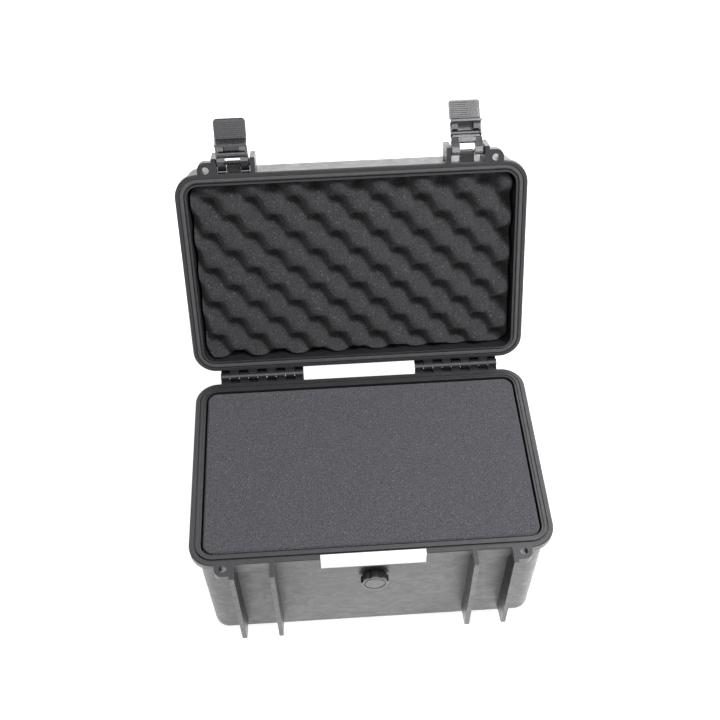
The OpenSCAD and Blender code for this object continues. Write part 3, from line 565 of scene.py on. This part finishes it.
def bake_nodes(source, tree, values, name, place):
    """Runs a Geometry Nodes tree on a mesh and returns its result as a plain object with its place in its mesh."""
    carrier = bpy.data.objects.new(name + "_carrier", source)
    bpy.context.scene.collection.objects.link(carrier)
    modifier = carrier.modifiers.new("Shape", "NODES")
    modifier.node_group = tree
    set_inputs(modifier, values)
    seen = carrier.evaluated_get(bpy.context.evaluated_depsgraph_get())
    mesh = bpy.data.meshes.new_from_object(seen)
    bpy.data.objects.remove(carrier)
    mesh.name = name
    mesh.transform(place)
    made = bpy.data.objects.new(name, mesh)
    bpy.context.scene.collection.objects.link(made)
    return made


def smooth_faces(made, angle=math.radians(40)):
    """Smooth shading, with edges sharper than the angle kept."""
    made.data.shade_smooth()
    made.data.set_sharp_from_angle(angle=angle)


def foam_slab(name, half, values, place, material, node, body, fine=True):
    """One foam slab that stands for a CAD node. Slabs that don't show get a coarse mesh."""
    foam = settings().foam
    tree = bpy.data.node_groups.get("Foam slab") or foam_tree()
    sheet = rounded_sheet(name + "_sheet", *half, FOAM_CORNER, foam.grid if fine else COARSE_GRID)
    inputs = {
        "Bump pitch": (1.0, 1.0, 1.0),
        "Bump origin": (0.0, 0.0, 0.0),
        "Bump height": 0.0,
        "Bump fullness": 1.0,
        "Ridge lean": 0.0,
        "Sag": (0.0, 0.0, 0.0),
        "Skew": 0.0,
        "Edge rounding": 1.2 * MM,
        "Ruggedness": foam.ruggedness,
        "Draw-in": 0.0,
        "Material": material,
    }
    inputs.update(values)
    made = bake_nodes(sheet, tree, inputs, name, place)
    smooth_faces(made)
    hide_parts(node)
    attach(made, body)
    return made


# ---------- operators ----------


class CASE_OT_shells(bpy.types.Operator):
    """Gives the base and the lid their moulded finish"""

    bl_idname = "case.shells"
    bl_label = "Finish shells"

    def execute(self, context):
        colours = settings().colours
        hinge = next(j for j in frame["joints"] if j["name"] == "lid_hinge")["pos_m"]
        finish_nodes(
            moulded_plastic("moulded_abs_shell", colours.shell, 0.5, 0.55, 0.035, 0.75, 0.2, polished=hinge[1:]),
            "base_shell",
            "lid_shell",
        )
        finish_nodes(rubber("epdm_seal", colours.seal), "lid_gasket")
        finish_nodes(rubber("nitrile_ring", colours.rubber), "valve_oring")
        return {"FINISHED"}


class CASE_OT_hardware(bpy.types.Operator):
    """Gives the pins their ground steel finish"""

    bl_idname = "case.hardware"
    bl_label = "Finish pins"

    def execute(self, context):
        steel = ground_steel("ground_stainless_steel", settings().colours.steel)
        names = [name for name in frame["nodes"] if "pin" in name and "pivot" not in name or name.endswith("pins")]
        finish_nodes(steel, *names)
        return {"FINISHED"}


class CASE_OT_latches(bpy.types.Operator):
    """Gives the latches their moulded finish"""

    bl_idname = "case.latches"
    bl_label = "Finish latches"

    def execute(self, context):
        colour = settings().colours.latch
        plastic = moulded_plastic("moulded_nylon_latch", colour, 0.27, 0.4, 0.006, 0.3, 0.1, gloss=1.0)
        for side in ("left", "right"):
            finish_nodes(plastic, f"latch_{side}_link", f"latch_{side}_lever")
        return {"FINISHED"}


class CASE_OT_valve(bpy.types.Operator):
    """Finishes the pressure valve and the blank plate"""

    bl_idname = "case.valve"
    bl_label = "Finish valve and plate"

    def execute(self, context):
        colours = settings().colours
        finish_nodes(
            moulded_plastic("moulded_abs_valve", colours.valve, 0.45, 0.4, 0.02, 0.5, 0.1),
            "valve_body",
            "valve_nut",
            "valve_knob",
        )
        finish_nodes(plain_sheet("expanded_ptfe_membrane", "eeeeea", 0.8), "valve_membrane")
        finish_nodes(plain_sheet("white_polyester_plate", colours.plate, 0.35), "label_plate")
        return {"FINISHED"}


class CASE_OT_handle(bpy.types.Operator):
    """Finishes the carrying handle"""

    bl_idname = "case.handle"
    bl_label = "Finish handle"

    def execute(self, context):
        colours = settings().colours
        finish_nodes(
            moulded_plastic("moulded_nylon_handle", colours.latch, 0.42, 0.5, 0.02, 0.6, 0.2), "handle_frame"
        )
        finish_nodes(rubber("soft_touch_rubber_grip", colours.rubber), "handle_grip")
        return {"FINISHED"}


class CASE_OT_lid_foam(bpy.types.Operator):
    """Builds the egg-crate foam in the lid"""

    bl_idname = "case.lid_foam"
    bl_label = "Build lid foam"

    def execute(self, context):
        foam = settings().foam
        hinge = Vector(next(j for j in frame["joints"] if j["name"] == "lid_hinge")["pos_m"])
        open_lid = Matrix.Translation(hinge) @ Matrix.Rotation(-LID_OPEN, 4, "X") @ Matrix.Translation(-hinge)
        # The slab is made face up and lies face down in the shut lid
        back = Matrix.Translation((0, 0, LID_FOAM_BACK)) @ Matrix.Rotation(math.pi, 4, "X")
        foam_slab(
            "lid_foam_sheet",
            LID_FOAM_HALF,
            {
                "Thickness": LID_FOAM_THICKNESS,
                "Bump pitch": (foam.pitch_x, foam.pitch_y, 1.0),
                "Bump origin": BUMP_ORIGIN,
                "Bump height": foam.bump_height,
                "Bump fullness": foam.fullness,
                "Ridge lean": foam.ridge_lean,
                "Sag": tuple(foam.sag),
                "Skew": -foam.skew,
                "Edge rounding": 0.5 * MM,
            },
            open_lid @ back,
            cut_foam("lid_polyurethane_foam", settings().colours.lid_foam, foam.cell),
            "lid_foam",
            "lid",
        )
        return {"FINISHED"}


class CASE_OT_base_foam(bpy.types.Operator):
    """Builds the three layers of flat foam in the base"""

    bl_idname = "case.base_foam"
    bl_label = "Build base foam"

    def execute(self, context):
        material = cut_foam("base_polyurethane_foam", settings().colours.base_foam, settings().foam.cell)
        for node, fine in (("base_foam_top", True), ("base_foam_middle", False), ("base_foam_pad", False)):
            low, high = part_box(node)
            half = (high[0] - low[0]) / 2, (high[1] - low[1]) / 2
            middle = Vector(((high[0] + low[0]) / 2, (high[1] + low[1]) / 2, low[2]))
            foam_slab(
                node + "_block",
                half,
                {"Thickness": high[2] - low[2], "Draw-in": 0.005},
                Matrix.Translation(middle),
                material,
                node,
                "case",
                fine,
            )
        return {"FINISHED"}


class CASE_OT_stage(bpy.types.Operator):
    """Sets the floor, the surroundings, the lamps and the camera"""

    bl_idname = "case.stage"
    bl_label = "Set the stage"

    def execute(self, context):
        stage = settings().stage
        scene = context.scene
        scene.view_settings.view_transform = "Standard"
        self.floor(stage.table_glow)
        self.surroundings(stage)
        self.lamp("softbox_lamp", stage.softbox_power, SOFTBOX_PLACE, SOFTBOX_SIZE)
        self.lamp("front_lamp", stage.front_power, FRONT_LAMP_PLACE, FRONT_LAMP_SIZE)
        view = bpy.data.cameras.new("camera")
        view.lens = stage.lens
        view.sensor_width = 36
        view.clip_start = 0.01
        camera = bpy.data.objects.new("camera", view)
        camera.location = stage.camera_place
        camera.rotation_euler = stage.camera_turn
        scene.collection.objects.link(camera)
        scene.camera = camera
        return {"FINISHED"}

    def floor(self, glow_in_gloss):
        """A white table that shows as white and is a little brighter on the right in what gloss shows of it."""
        mesh = bpy.data.meshes.new("floor")
        corners = [
            (-FLOOR_SIDE, FLOOR_FRONT, FLOOR_DEPTH),
            (FLOOR_SIDE, FLOOR_FRONT, FLOOR_DEPTH),
            (FLOOR_SIDE, FLOOR_BACK, FLOOR_DEPTH),
            (-FLOOR_SIDE, FLOOR_BACK, FLOOR_DEPTH),
        ]
        mesh.from_pydata(corners, [], [(0, 1, 2, 3)])
        floor = bpy.data.objects.new("floor", mesh)
        bpy.context.scene.collection.objects.link(floor)
        material, tree = new_material("white_table")
        rays = add_node(tree, "ShaderNodeLightPath")
        matt = add_node(tree, "ShaderNodeBsdfDiffuse", {"Color": linear("f2f2f2")})
        seen = add_node(
            tree, "ShaderNodeMath", {0: rays.outputs["Is Camera Ray"], 1: FLOOR_GLOW_TO_EYE}, operation="MULTIPLY"
        )
        place = add_node(tree, "ShaderNodeTexCoord").outputs["Object"]
        across = add_node(tree, "ShaderNodeSeparateXYZ", {0: place})
        brighter_right = add_node(
            tree,
            "ShaderNodeMapRange",
            {
                "Value": across.outputs[0],
                "From Min": -GLOW_REACH,
                "From Max": GLOW_REACH,
                "To Min": 0.82 * glow_in_gloss,
                "To Max": 1.18 * glow_in_gloss,
            },
        )
        glossy = add_node(
            tree,
            "ShaderNodeMath",
            {0: rays.outputs["Is Glossy Ray"], 1: brighter_right.outputs[0]},
            operation="MULTIPLY",
        )
        strength = add_node(tree, "ShaderNodeMath", {0: seen.outputs[0], 1: glossy.outputs[0]}, operation="ADD")
        glow = add_node(tree, "ShaderNodeEmission", {"Color": (1, 1, 1, 1), "Strength": strength.outputs[0]})
        lit = add_node(tree, "ShaderNodeAddShader", {0: matt.outputs[0], 1: glow.outputs[0]})
        close_material(tree, lit.outputs[0])
        mesh.materials.append(material)

    def surroundings(self, stage):
        """White to the eye; gloss shows a bright sweep behind the table, a panel above the camera and a dim room."""
        world = bpy.data.worlds.new("white_studio")
        world.use_nodes = True
        tree = world.node_tree
        tree.nodes.clear()
        rays = add_node(tree, "ShaderNodeLightPath")
        way = add_node(tree, "ShaderNodeTexCoord").outputs["Generated"]
        sweep = self.patch(tree, way, SWEEP_WAY, (0.4, 0.95), (stage.room, stage.sweep))
        panel = self.patch(tree, way, PANEL_WAY, (0.77, 0.9), (0.0, stage.panel))
        shown = add_node(tree, "ShaderNodeMath", {0: sweep, 1: panel}, operation="ADD")
        glossy = add_node(
            tree,
            "ShaderNodeMix",
            {0: rays.outputs["Is Glossy Ray"], 2: stage.sky, 3: shown.outputs[0]},
            data_type="FLOAT",
        )
        seen = add_node(
            tree, "ShaderNodeMix", {0: rays.outputs["Is Camera Ray"], 2: glossy.outputs[0], 3: 1.0}, data_type="FLOAT"
        )
        sky = add_node(tree, "ShaderNodeBackground", {"Color": (1, 1, 1, 1), "Strength": seen.outputs[0]})
        add_node(tree, "ShaderNodeOutputWorld", {"Surface": sky.outputs[0]})
        bpy.context.scene.world = world

    def patch(self, tree, way, middle, cosines, strengths):
        """A soft round patch of the surroundings: its strength grows towards its middle."""
        alike = add_node(tree, "ShaderNodeVectorMath", {0: way, 1: middle}, operation="DOT_PRODUCT")
        grown = add_node(
            tree,
            "ShaderNodeMapRange",
            {
                "Value": alike.outputs["Value"],
                "From Min": cosines[0],
                "From Max": cosines[1],
                "To Min": strengths[0],
                "To Max": strengths[1],
            },
            interpolation_type="SMOOTHSTEP",
        )
        return grown.outputs[0]

    def lamp(self, name, power, place, size):
        """A square lamp that faces the case."""
        light = bpy.data.lights.new(name, "AREA")
        light.energy = power
        light.shape = "SQUARE"
        light.size = size
        lamp = bpy.data.objects.new(name, light)
        lamp.location = place
        aim = LAMP_AIM - Vector(place)
        lamp.rotation_euler = aim.to_track_quat("-Z", "Y").to_euler()
        bpy.context.scene.collection.objects.link(lamp)


OPERATORS = (
    CASE_OT_shells,
    CASE_OT_hardware,
    CASE_OT_latches,
    CASE_OT_valve,
    CASE_OT_handle,
    CASE_OT_lid_foam,
    CASE_OT_base_foam,
    CASE_OT_stage,
)


class CASE_PT_panel(bpy.types.Panel):
    """Lists the steps that dress the case"""

    bl_idname = "CASE_PT_panel"
    bl_label = "Microphone case"
    bl_space_type = "VIEW_3D"
    bl_region_type = "UI"
    bl_category = "Case"

    def draw(self, context):
        case = context.scene.case_settings
        for group in (case.colours, case.foam, case.stage):
            box = self.layout.box()
            for name in group.__annotations__:
                box.prop(group, name)
        for operator in OPERATORS:
            self.layout.operator(operator.bl_idname)


CLASSES = (CaseColours, FoamSizes, StageSettings, CaseSettings, *OPERATORS, CASE_PT_panel)


def register():
    for cls in CLASSES:
        bpy.utils.register_class(cls)
    bpy.types.Scene.case_settings = PointerProperty(type=CaseSettings)


def unregister():
    del bpy.types.Scene.case_settings
    for cls in reversed(CLASSES):
        bpy.utils.unregister_class(cls)


def main():
    register()
    for operator in OPERATORS:
        group, name = operator.bl_idname.split(".")
        getattr(getattr(bpy.ops, group), name)()


if __name__ == "__main__":
    main()
